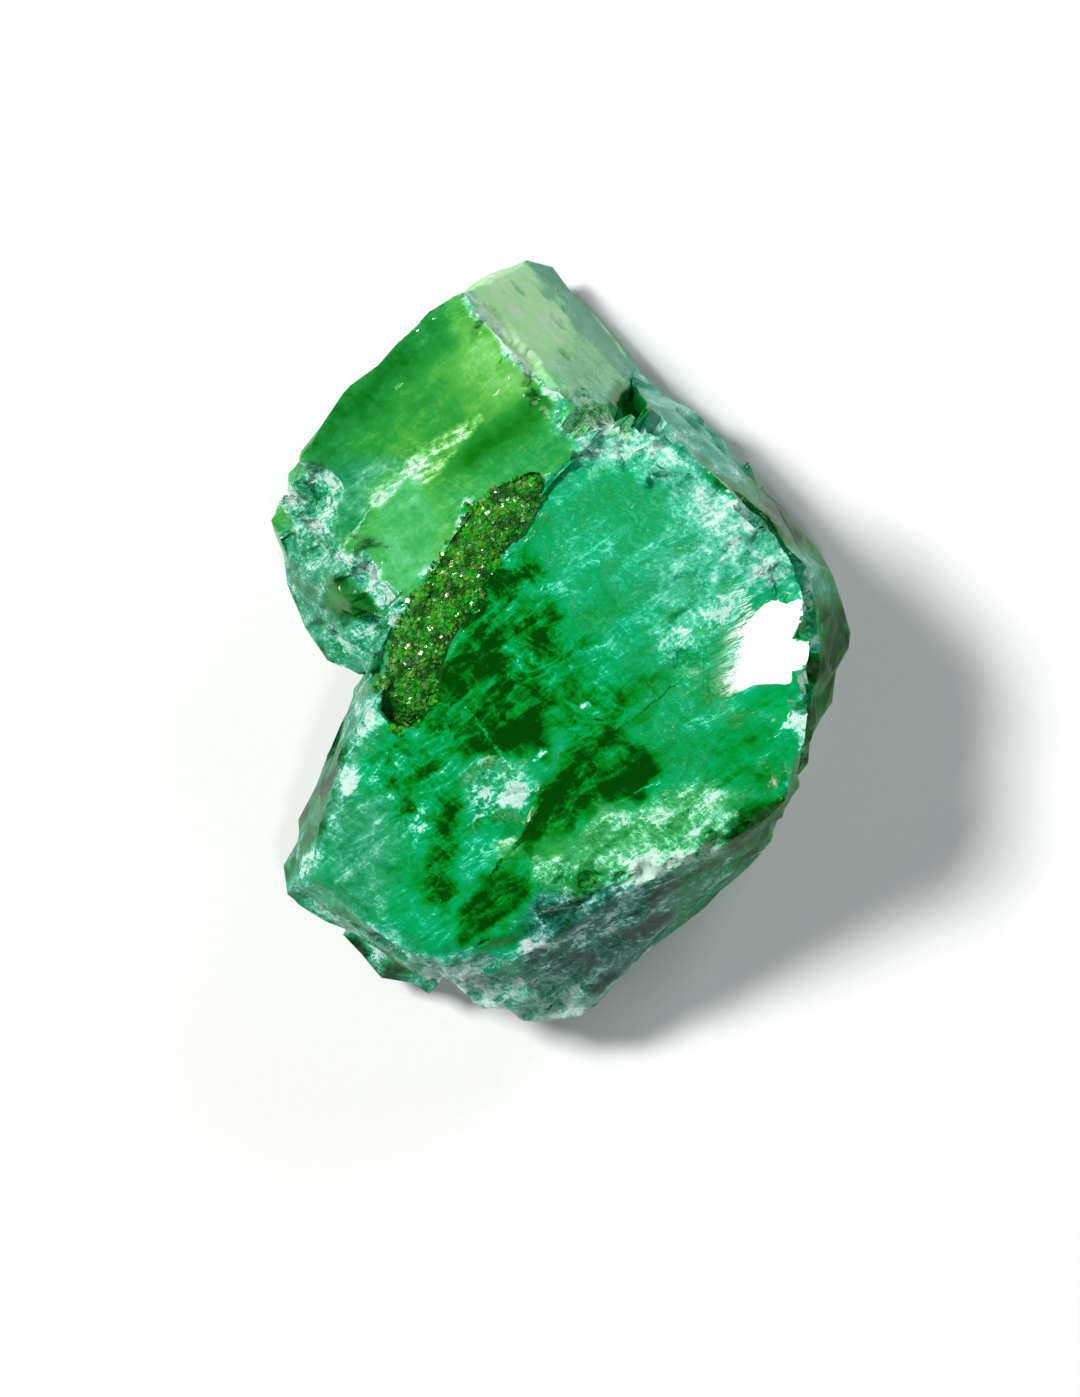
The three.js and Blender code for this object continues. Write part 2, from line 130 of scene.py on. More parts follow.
# Painted one over the other, in this order
ZONES = [
    # the main crystal's top
    Zone(MAIN_TOP, 1.0, 0.47, 0.5),
    Zone([(-2.3, 13.7), (3.0, 16.1), (9.3, 13.7), (14.0, 8.2), (15.5, 4.3), (12.4, 2.0),
          (6.9, 0.4), (2.2, 2.0), (-0.2, 6.7), (-1.7, 10.6)], 2.6, 0.59, 0.34),
    Zone([(6.9, 0.4), (12.4, 0.4), (18.7, -4.3), (18.7, -9.8), (14.0, -12.2), (10.0, -11.4),
          (6.9, -7.5)], 2.0, 0.47, 0.45),
    Zone([(10.6, -7.5), (18.4, -6.4), (18.6, -10.4), (15.0, -12.0), (11.2, -11.0)], 1.4, 0.34, 0.5),
    Zone([(6.9, -1.6), (8.2, 2.6), (12.8, 5.4), (12.8, 1.0), (10.8, -2.2)], 1.2, 0.68, 0.7),
    Zone([(-6.6, 7.4), (-3.3, 6.7), (-0.8, 4.3), (0.6, 0.4), (-0.2, -3.5), (-1.7, -7.9),
          (-4.9, -8.4), (-7.2, -9.4), (-10.4, -9.2), (-10.8, -5.5), (-9.4, -0.4), (-8.0, 3.8)],
         1.0, 0.02, 0.6),
    Zone([(-7.4, 6.6), (-3.3, 6.7), (-0.8, 4.3), (0.6, 0.4), (-0.4, -2.0), (-4.0, -1.6),
          (-6.6, 1.2)], 1.0, 0.2, 0.9),
    Zone([(-0.5, -0.4), (3.0, 0.4), (5.1, -3.5), (4.5, -7.3), (0.6, -7.5), (-0.9, -4.3)],
         1.2, 0.26, 0.7),
    Zone([(-13.9, -6.7), (-10.7, -7.8), (-8.4, -10.2), (-8.4, -12.9), (-6.7, -16.7),
          (-9.6, -16.1), (-12.7, -14.5), (-14.7, -11.4)], 1.1, 0.33, 1.0),
    Zone([(-1.7, -10.2), (1.0, -7.1), (4.9, -6.5), (7.3, -9.4), (6.9, -12.2), (4.9, -13.3),
          (2.2, -13.9), (-0.2, -14.5), (-2.1, -16.1), (-3.8, -17.6), (-4.5, -17.2),
          (-2.4, -13.7)], 0.8, 0.0, 0.5),
    Zone([(6.0, 4.4), (8.6, 9.6), (13.0, 8.0), (14.4, 5.0), (9.6, 2.6)], 1.8, 0.67, 0.4, 0, 0.12),
    # painted glows: lighter yellow green colour where light gets out again
    Zone([(-1.7, -16.1), (-0.2, -14.2), (1.2, -14.9), (0.6, -16.9), (-1.1, -17.8)],
         0.9, 0.46, 0.3, 0.7),
    Zone([(-4.6, -15.5), (-2.7, -14.7), (-1.9, -15.5), (-3.5, -17.0), (-4.5, -16.9)],
         0.8, 0.55, 0.5, 0.6),
    # a white fracture cluster, and windows below it
    Zone([(-8.5, -10.2), (-6.6, -9.0), (-3.8, -9.5), (-2.5, -11.4), (-2.9, -13.3),
          (-5.6, -13.9), (-7.2, -12.9)], 0.9, 0.7, 1.0),
    Zone([(-6.0, -17.8), (-2.5, -17.8), (-2.7, -20.4), (-4.9, -21.6), (-6.8, -23.1),
          (-8.4, -24.3), (-8.8, -22.4), (-7.6, -20.0)], 0.62, 0.0, 0.4),
    Zone([(-10.4, -16.5), (-8.4, -16.5), (-7.8, -18.4), (-8.8, -20.4), (-10.4, -20.0),
          (-11.5, -18.4)], 0.8, 0.06, 0.7),
    Zone([(-18.8, -16.9), (-17.0, -11.8), (-13.7, -12.2), (-13.1, -16.1), (-13.9, -20.4),
          (-17.4, -20.8)], 1.6, 0.52, 0.5, 0.2, 0.3),
    Zone([(3.0, -11.8), (6.9, -12.6), (10.8, -11.0), (14.0, -12.2), (10.8, -15.3),
          (6.1, -16.1), (2.2, -17.0), (1.0, -16.1)], 1.0, 0.58, 0.9, 0.35),
    # facets that fall away below: blue grey, that tint a painted sheen, dark right, the lump and
    # the left side
    # painted sheen: the facet below the main crystal tinted blue grey
    Zone([(-1.7, -18.4), (8.7, -17.4), (9.3, -21.8), (1.0, -31), (-3.3, -24.7)],
         0.7, 0.47, 1.0, 0, 0.85),
    Zone([(8.9, -17.2), (17.2, -11.8), (21, -11), (11, -24), (9.3, -22)], 0.6, 0.36, 1.0),
    Zone([(-21, -20), (-14.9, -22.8), (-10.1, -25.1), (-5, -27.4), (0, -31), (-20, -31)],
         0.5, 0.18, 0.9, 0.1, 0.5),
    Zone([(-14.9, -4.2), (-16.5, -8.8), (-17.3, -13.6), (-20.5, -17.7), (-24, -20), (-18, -2)],
         0.5, 0.26, 0.7, 0, 0.5),
    # the cube: its top, from its upper left, painted darker as shade, over the yellow middle to the
    # bright low end
    Zone(CUBE, 0.4, 0.46, 0.16, 1),
    Zone([(-20.5, 14.9), (-18.2, 19.2), (-11.1, 24.9), (-8.2, 27), (-9.2, 23.8),
          (-14.0, 18.6), (-17.0, 14.8), (-19.0, 12.4)], 2.0, 0.27, 0.25, 0.8, 0.15),
    Zone([(-8.6, 25.9), (-5.6, 24.3), (-2.1, 20.4), (0.2, 18.3), (-2.5, 17.3), (-5.6, 18.4),
          (-9.4, 20.8)], 2.6, 0.66, 0.12, 1),
    Zone([(-8.6, 13.7), (-6.4, 16.1), (-2.5, 18.6), (0.2, 18.6), (-1.1, 16.8), (-4.9, 14.7),
          (-6.8, 12.8)], 1.3, 0.24, 0.15, 1),
    Zone([(-7.2, 12.9), (-4.5, 14.7), (-0.2, 16.7), (2.6, 16.5), (-0.2, 14.1), (-3.3, 12.2),
          (-7.2, 10.2), (-9.2, 9.0), (-9.6, 11.4)], 1.0, 0.48, 0.25, 0.5),
    Zone([(-20.9, 12.8), (-18.6, 14.0), (-15.6, 14.2), (-11.1, 14.6), (-13.9, 12.2),
          (-17.0, 7.8), (-18.2, 11.4)], 1.4, 0.5, 0.35, 0.4, 0.35),
    Zone([(-17.0, 6.9), (-13.7, 11.4), (-11.3, 13.3), (-9.6, 10.2), (-9.8, 6.7), (-10.7, 3.5),
          (-13.9, 3.5)], 0.8, 0.64, 0.15, 0.5),
    # the cube's broken end: a frosted corner, a plain olive panel
    Zone(BROKEN_END, 0.5, 0.52, 0.7, 0.3, 0.5),
    Zone([(-18.3, 5.5), (-15.8, 4.2), (-14.0, 2.4), (-14.2, 0.4), (-16.8, 1.2), (-18.4, 3.2)],
         0.4, 0.28, 0.15, 1, 0.15),
    Zone([(-20.5, 14.1), (-17.2, 12.2), (-17.8, 9.8), (-17.2, 6.9), (-19.8, 6.1), (-22.3, 9.0),
          (-22.5, 12.2)], 0.6, 0.82, 0.9, 0.2, 0.35),
    # the cube's right side, sage, with a darker streak
    Zone([(-7.9, 27.1), (-4, 32), (8, 22), (4.6, 19.2), (3.0, 16.2), (1.0, 17.5), (-3.9, 21.9)],
         0.4, 0.89, 0.12, 1, 0),
    Zone([(1.0, 25.0), (5.4, 21.6), (4.4, 19.2), (1.6, 18.2), (-1.0, 20.6)],
         1.6, 0.74, 0.2, 0.7, 0.2),
    Zone([(-2.4, 30.4), (-0.2, 28.6), (5.6, 21.8)], 0.7, 0.54, 0.2, 0.3, 0.5, 0.5),
    # broken edges
    Zone([(-7.2, 26.6), (-6.4, 25.7)], 0.4, 0.8, 0.4, 0.3, 0, 0.3),
    Zone([(-5.2, 24.3), (-3.9, 21.9), (-2.4, 20.8), (1, 17.5), (3, 16.2)],
         0.4, 0.86, 1.0, 0.2, 0.1, 0.4),
    Zone([(-17.6, 6.9), (-15.7, 4.9), (-13.9, 3.1), (-13.3, 0.5)], 0.5, 0.84, 0.9, 0, 0.2, 0.4),
    Zone([(-17.6, 0.0), (-14.6, 0.8), (-13.4, -0.6), (-12.6, 2.4)], 0.7, 0.84, 0.9, 0, 0.2, 0.8),
    Zone([(-6.9, 10.9), (-8.6, 8.2), (-10.6, 4.4), (-11.6, 1.4)], 0.4, 0.7, 0.8, 0.2, 0, 0.3),
    Zone([(2.2, 16.6), (6.3, 16.6), (10.4, 12.5), (13.8, 9.6), (16.6, 6.8)],
         1.8, 0.88, 0.5, 0, 0.3, 1.6),
    Zone([(2.0, 17.6), (3.6, 17.9), (6.9, 18.0)], 0.6, 0.85, 0.9, 0.6, 0, 0.5),
    # the right flank: teal above, dark green below, a pale facet, and painted shade in the hollow
    # by the cube
    Zone(FLANK, 0.4, 0.26, 0.5, 0, 0.2),
    Zone([(5.0, 22.8), (10.6, 19.6), (14.6, 15.4), (15.2, 13.0), (12.6, 11.8), (9.3, 15.2),
          (6.6, 18.0)], 0.7, 0.75, 0.3, 0, 0.5),
    Zone([(11.4, 12.8), (12.6, 13.4), (14.0, 12.2), (13.0, 11.4)], 0.5, 0.15, 0.5),
    Zone([(15.2, 10.6), (16.4, 12.4), (18.4, 10.6), (20.6, 8.0), (18.4, 6.0), (17.0, 8.6)],
         0.6, 0.08, 0.4, 0, 0.1),
    Zone([(17.4, 7.6), (19.4, 7.6), (21.6, 4.4), (20.2, 3.4), (18.6, 5.0)], 0.6, 0.6, 0.5, 0, 0.4),
    Zone([(19.0, 3.6), (23.4, 3.5), (23.2, -0.5), (21.4, -4.6), (19.4, -11.0), (18.9, -5.9)],
         0.6, 0.05, 0.4, 0, 0),
    # painted shade: the hollow by the cube darkened
    Zone([(4.3, 20.8), (6.2, 20.0), (6.8, 18.4), (5.2, 17.9), (3.7, 19.0)], 0.5, 0.1, 0.2, 0, 0.3),
    Zone([(19.1, 3.9), (19.7, 0.3), (18.8, -3.6), (18.9, -9.4)], 0.6, 0.78, 0.9, 0, 0.2, 0.3),
    Zone([(-1.7, -18), (2.2, -17.6), (6.1, -17), (10.8, -16.1), (12.4, -15.0)],
         1.0, 0.64, 1.0, 0.3, 0, 0.8),
    Zone([(12.9, -15.6), (13.6, -12.9), (17.2, -11.6), (18.6, -11.2), (16.5, -15.3),
          (14.0, -17.8)], 0.5, 0.1, 0.5),
    Zone([(9.0, -18.6), (12.2, -16.4), (13.4, -18.0), (11.6, -20.4), (9.2, -21.4)],
         0.5, 0.5, 0.9, 0, 0.2),
    Zone([(-20.6, -20.2), (-14.9, -22.8), (-12.2, -24.6), (-10.1, -25.3)],
         0.9, 0.7, 0.7, 0.1, 0.3, 0.5),
    Zone([(-9.0, -26.4), (-5, -27.6), (1.5, -29.4)], 1.4, 0.94, 0.6, 0, 0.4, 1.5),
    Zone([(-14.9, -4.2), (-16.5, -8.8), (-17.3, -13.6), (-18.8, -16.2), (-20.5, -17.7)],
         0.5, 0.7, 0.9, 0, 0.3, 0.25),
]


class Line(NamedTuple):
    """A straight mark in the stone that thins to its end."""

    start: tuple
    end: tuple
    width: float
    strength: float  # how much it whitens the stone, or darkens it if below 0


LINES = [
    Line((-10.9, 13.7, 0), (-6.3, 17.4, 0), 1.8, 0.42),
    Line((-14.2, 11.4, 0), (-11.6, 13.7, 0), 1.2, 0.36),
    Line((-17.3, 7.1, 0), (-13.8, 11.8, 0), 0.22, 0.3),
    Line((-3.8, -9.9, 0), (-7.4, -4.9, 0), 0.28, 0.45),
    Line((3.0, -7.8, 0), (9.5, -2.5, 0), 0.28, -0.3),
    Line((7.6, -10.6, 0), (5.6, -11.6, 0), 0.22, 0.4),
    Line((19.1, -5.0, 0), (16.0, -7.3, 0), 0.55, 0.5),
    Line((-0.3, -11.7, 0), (-5.6, -18.0, 0), 0.5, -0.5),
    Line((-8.2, -14.6, 0), (-6.0, -13.2, 0), 0.3, 0.5),
    Line((-12.3, -15.0, 0), (-10.0, -13.9, 0), 0.35, 0.5),
    # specks on the cube's top, painted glints and a dark spot on the main crystal
    Line((-12.7, 19.9, 0), (-12.3, 20.1, 0), 0.2, 0.4),
    Line((-5.1, 19.3, 0), (-4.7, 19.6, 0), 0.2, 0.4),
    Line((-1.4, -8.2, 0), (-2.1, -9.2, 0), 0.42, 0.7),
    Line((1.7, -4.8, 0), (2.1, -4.6, 0), 0.4, 0.6),
    Line((2.0, -5.5, 0), (3.3, -5.9, 0), 0.3, -0.5),
]

# The outline inside which the crust's grains lie thickly
CRUST = [
    (-1.9, 12.4), (-4.3, 12.0), (-6.9, 10.3), (-7.2, 8.9), (-8.9, 6.9), (-10.5, 4.2), (-12.5, 1.3),
    (-13.3, -0.3), (-13.3, -3.3), (-12.6, -6.3), (-10.6, -4.6), (-10.1, -1.5), (-9.1, 0.9),
    (-7.1, 3.8), (-5.5, 7.0), (-2.9, 10.2),
]
# Places along the gully from its upper end: x, y, height of its floor and half its width
GULLY = [
    (-1.3, 13.3, 22.2, 0.6), (-2.2, 12.4, 22.5, 0.8), (-4.6, 10.2, 21.9, 1.5),
    (-6.8, 7.4, 20.7, 1.5), (-8.1, 5.1, 20.0, 1.4), (-9.1, 2.8, 19.3, 1.3),
    (-10.0, 0.6, 18.6, 1.1), (-10.9, -1.8, 17.8, 1.1), (-12.1, -4.6, 17.0, 1.2),
    (-12.6, -6.0, 16.6, 0.9),
]


def smooth(t):
    """Eases t from 0 to 1."""
    t = np.clip(t, 0, 1)
    return t * t * (3 - 2 * t)


def distance_to(xy, a, b):
    """Each point's distance to the line from a to b."""
    along = b - a
    share = np.clip(((xy - a) @ along) / (along @ along), 0, 1)
    return np.linalg.norm(xy - a - share[:, None] * along, axis=1)


def patch(xy, outline, blur=0.6):
    """1 inside a closed outline and 0 outside, blurred over its edge."""
    corners = np.array(outline, float)
    nearest = np.full(len(xy), np.inf)
    inside = np.zeros(len(xy), bool)
    for a, b in zip(corners, np.roll(corners, -1, axis=0)):
        nearest = np.minimum(nearest, distance_to(xy, a, b))
        if a[1] != b[1]:
            crossing = a[0] + (xy[:, 1] - a[1]) * (b[0] - a[0]) / (b[1] - a[1])
            inside ^= ((a[1] > xy[:, 1]) != (b[1] > xy[:, 1])) & (xy[:, 0] < crossing)
    depth = np.where(inside, nearest, -nearest)
    return smooth(0.5 + depth / (2 * blur))


def band(xy, course, width):
    """1 on a broken line, easing to 0 at width on either side."""
    points = np.array(course, float)
    nearest = np.min([distance_to(xy, a, b) for a, b in zip(points, points[1:])], axis=0)
    return smooth(1.5 - nearest / width)


def most(*masks):
    """The strongest of several masks at each point."""
    return np.max(masks, axis=0)


def lattice(cells, seed):
    """A repeatable value from 0 to 1 for each whole-number cell."""
    n = cells[:, 0] * 374761393 + cells[:, 1] * 668265263 + cells[:, 2] * 1442695041 + seed * 97
    n = (n ^ (n >> 13)) * 1274126177
    return ((n ^ (n >> 16)) & 0xFFFF) / 65535


def noise(points, size, seed=0):
    """Smooth noise from -1 to 1 with bumps about size across."""
    scaled = points / size
    base = np.floor(scaled).astype(np.int64)
    share = smooth(scaled - base)
    total = np.zeros(len(points))
    for corner in itertools.product((0, 1), repeat=3):
        weight = np.prod(np.where(corner, share, 1 - share), axis=1)
        total += weight * lattice(base + corner, seed)
    return 2 * total - 1


def rough(points, size, seed=0):
    """Noise of three sizes, each half as large and half as strong as the last."""
    return sum(0.5**k * noise(points, size * 0.5**k, seed + k) for k in range(3)) / 1.75


def new_piece(name, points, faces, material, body="root"):
    """A mesh object of a riding piece, its points given in mm."""
    mesh = bpy.data.meshes.new(name)
    mesh.from_pydata(((points - SKETCH) * MM).tolist(), [], [list(map(int, f)) for f in faces])
    mesh.materials.append(material)
    mesh.validate()
    piece = bpy.data.objects.new(name, mesh)
    bpy.context.scene.collection.objects.link(piece)
    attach(piece, body)
    return piece


def write_field(mesh, name, values):
    """Stores one number for each point of a mesh, for its material to read."""
    field = mesh.attributes.new(name, "FLOAT", "POINT")
    field.data.foreach_set("value", np.asarray(values, np.float32))


def shade(mesh, angle):
    """Smooth shading that stays sharp where faces meet at more than an angle in degrees."""
    mesh.polygons.foreach_set("use_smooth", np.ones(len(mesh.polygons), bool))
    mesh.set_sharp_from_angle(angle=math.radians(angle))


class Nodes:
    """A node tree being filled: each call adds a node and joins or sets its inputs."""

    def __init__(self, tree):
        self.tree = tree
        self.column = 0

    def add(self, kind, inputs=None, **settings):
        """A new node. inputs maps an input's name or number to a socket or a constant."""
        node = self.tree.nodes.new(kind)
        node.location = (self.column, 0)
        self.column += 190
        for key, value in settings.items():
            setattr(node, key, value)
        for key, value in (inputs or {}).items():
            if isinstance(value, bpy.types.NodeSocket):
                self.tree.links.new(value, node.inputs[key])
            elif isinstance(value, tuple) and node.inputs[key].type == "RGBA":
                node.inputs[key].default_value = (*value, 1)
            else:
                node.inputs[key].default_value = value
        return node

    def math(self, operation, a, b=0.0, clamp=False):
        """The result of one sum on two values."""
        node = self.add("ShaderNodeMath", {0: a, 1: b}, operation=operation, use_clamp=clamp)
        return node.outputs[0]

    def mix(self, share, a, b):
        """Colour a, and colour b where share is 1."""
        node = self.add("ShaderNodeMix", data_type="RGBA")
        for key, value in ((0, share), (6, a), (7, b)):
            if isinstance(value, bpy.types.NodeSocket):
                self.tree.links.new(value, node.inputs[key])
            else:
                node.inputs[key].default_value = (*value, 1) if key else value
        return node.outputs[2]

    def span(self, value, low, high, to_low=0.0, to_high=1.0):
        """A value eased from one range to another."""
        inputs = {"Value": value, 1: low, 2: high, 3: to_low, 4: to_high}
        node = self.add("ShaderNodeMapRange", inputs, interpolation_type="SMOOTHSTEP")
        return node.outputs[0]

    def field(self, name):
        """A number that the mesh holds for each point."""
        return self.add("ShaderNodeAttribute", attribute_name=name).outputs["Fac"]

    def group(self, tree, inputs):
        """A use of a node group."""
        node = self.add("ShaderNodeGroup")
        node.node_tree = tree
        for key, value in inputs.items():
            if isinstance(value, bpy.types.NodeSocket):
                self.tree.links.new(value, node.inputs[key])
            else:
                node.inputs[key].default_value = value
        return node.outputs


def new_group(name, inputs, outputs):
    """An empty node group with these sockets, its nodes to fill and its input values."""
    tree = bpy.data.node_groups.new(name, "ShaderNodeTree")
    for label, kind in inputs:
        tree.interface.new_socket(label, in_out="INPUT", socket_type=kind)
    for label, kind in outputs:
        tree.interface.new_socket(label, in_out="OUTPUT", socket_type=kind)
    nodes = Nodes(tree)
    source = nodes.add("NodeGroupInput").outputs
    return tree, nodes, source


def veil_group():
    """Torn veils in the stone, drawn out along one way: clouds, thin wisps and flat shards."""
    tree, n, given = new_group(
        "Veils",
        [
            ("Position", "NodeSocketVector"),
            ("Scale", "NodeSocketFloat"),
            ("Detail", "NodeSocketFloat"),
            ("Length", "NodeSocketFloat"),
            ("Turn", "NodeSocketFloat"),
        ],
        [
            ("Clouds", "NodeSocketFloat"),
            ("Wisps", "NodeSocketFloat"),
            ("Shards", "NodeSocketFloat"),
        ],
    )
    turned = n.add(
        "ShaderNodeVectorRotate",
        {"Vector": given["Position"], "Angle": given["Turn"]},
        rotation_type="Z_AXIS",
    ).outputs[0]
    stretch = n.add("ShaderNodeCombineXYZ", {"X": given["Length"], "Y": 1.0, "Z": 0.6}).outputs[0]
    drawn = n.add(
        "ShaderNodeVectorMath", {0: turned, 1: stretch}, operation="MULTIPLY"
    ).outputs[0]
    clouds = n.add(
        "ShaderNodeTexNoise",
        {"Vector": drawn, "Scale": given["Scale"], "Detail": given["Detail"],
         "Roughness": 0.7, "Distortion": 0.5},
    ).outputs["Fac"]
    fine = n.add(
        "ShaderNodeTexNoise",
        {"Vector": drawn, "Scale": n.math("MULTIPLY", given["Scale"], 2.3), "Detail": 3.5,
         "Roughness": 0.55, "Distortion": 1.2},
    ).outputs["Fac"]
    lines = n.span(n.math("ABSOLUTE", n.math("SUBTRACT", fine, 0.5)), 0.0, 0.06, 1.0, 0.0)
    wisps = n.math("MULTIPLY", lines, n.span(clouds, 0.42, 0.62))
    frayed = n.add(
        "ShaderNodeTexNoise", {"Vector": drawn, "Scale": n.math("MULTIPLY", given["Scale"], 6.0)}
    ).outputs["Color"]
    frayed = n.add("ShaderNodeVectorMath", {0: frayed, "Scale": 0.7}, operation="SCALE").outputs[0]
    frayed = n.add("ShaderNodeVectorMath", {0: drawn, 1: frayed}).outputs[0]
    cells = n.add(
        "ShaderNodeTexVoronoi", {"Vector": frayed, "Scale": n.math("MULTIPLY", given["Scale"], 3.0)}
    )
    shards = n.add("ShaderNodeSeparateColor", {0: cells.outputs["Color"]}).outputs[0]
    n.add("NodeGroupOutput", {"Clouds": clouds, "Wisps": wisps, "Shards": shards})
    return tree


def line_group():
    """How near a place is to a straight mark that starts wide and thins to its end."""
    tree, n, given = new_group(
        "Line mark",
        [
            ("Position", "NodeSocketVector"),
            ("Start", "NodeSocketVector"),
            ("Course", "NodeSocketVector"),
            ("Width", "NodeSocketFloat"),
            ("Strength", "NodeSocketFloat"),
        ],
        [("Value", "NodeSocketFloat")],
    )

    def vectors(operation, a, b):
        node = n.add("ShaderNodeVectorMath", {0: a, 1: b}, operation=operation)
        return node.outputs["Value" if operation == "DOT_PRODUCT" else "Vector"]

    flat = vectors("MULTIPLY", given["Position"], (1, 1, 0))
    offset = vectors("SUBTRACT", flat, given["Start"])
    course = given["Course"]
    ahead = n.math("DIVIDE", vectors("DOT_PRODUCT", offset, course),
                   vectors("DOT_PRODUCT", course, course), clamp=True)
    reached = n.add("ShaderNodeVectorMath", {0: course, "Scale": ahead}, operation="SCALE")
    gap = vectors("SUBTRACT", offset, reached.outputs[0])
    distance = n.add("ShaderNodeVectorMath", {0: gap}, operation="LENGTH").outputs["Value"]
    thinned = n.math("SUBTRACT", 1.0, n.math("MULTIPLY", ahead, 0.7))
    width = n.math("MULTIPLY", given["Width"], thinned)
    near = n.span(n.math("DIVIDE", distance, width), 0.35, 1.0, 1.0, 0.0)
    n.add("NodeGroupOutput", {"Value": n.math("MULTIPLY", near, given["Strength"])})
    return tree


def grit_group():
    """Sugary breakage: a fine uneven height, tiny facets, and painted glints, bright spots on a few
    facets that stand in for light they catch.
    """
    tree, n, given = new_group(
        "Grit",
        [("Position", "NodeSocketVector"), ("Scale", "NodeSocketFloat")],
        [
            ("Height", "NodeSocketFloat"),
            ("Painted glints", "NodeSocketFloat"),
            ("Facets", "NodeSocketFloat"),
        ],
    )
    uneven = n.add(
        "ShaderNodeTexNoise",
        {"Vector": given["Position"], "Scale": given["Scale"], "Detail": 3.5, "Roughness": 0.68},
    )
    shift = n.add(
        "ShaderNodeVectorMath", {0: uneven.outputs["Color"], "Scale": 0.5}, operation="SCALE"
    ).outputs[0]
    place = n.add("ShaderNodeVectorMath", {0: given["Position"], 1: shift}).outputs[0]
    cells = n.add(
        "ShaderNodeTexVoronoi", {"Vector": place, "Scale": n.math("MULTIPLY", given["Scale"], 1.7)}
    )
    tone = n.add("ShaderNodeSeparateColor", {0: cells.outputs["Color"]}).outputs[0]
    middle = n.span(cells.outputs["Distance"], 0.1, 0.42, 1.0, 0.0)
    painted_glints = n.math("MULTIPLY", middle, n.span(tone, 0.9, 0.95))
    n.add(
        "NodeGroupOutput",
        {"Height": uneven.outputs["Fac"], "Painted glints": painted_glints, "Facets": tone},
    )
    return tree


def millimetres(n):
    """The piece's own coordinates in mm, in the frame of the outlines."""
    place = n.add("ShaderNodeTexCoord").outputs["Object"]
    larger = n.add("ShaderNodeVectorMath", {0: place, "Scale": 1 / MM}, operation="SCALE")
    return n.add("ShaderNodeVectorMath", {0: larger.outputs[0], 1: tuple(SKETCH)}).outputs[0]


def new_material(name):
    """A material with only a Principled shader and an output, and its nodes to fill."""
    material = bpy.data.materials.new(name)
    material.use_nodes = True
    material.node_tree.nodes.clear()
    n = Nodes(material.node_tree)
    surface = n.add("ShaderNodeBsdfPrincipled")
    output = n.add("ShaderNodeOutputMaterial", {"Surface": surface.outputs[0]})
    return material, n, surface, output


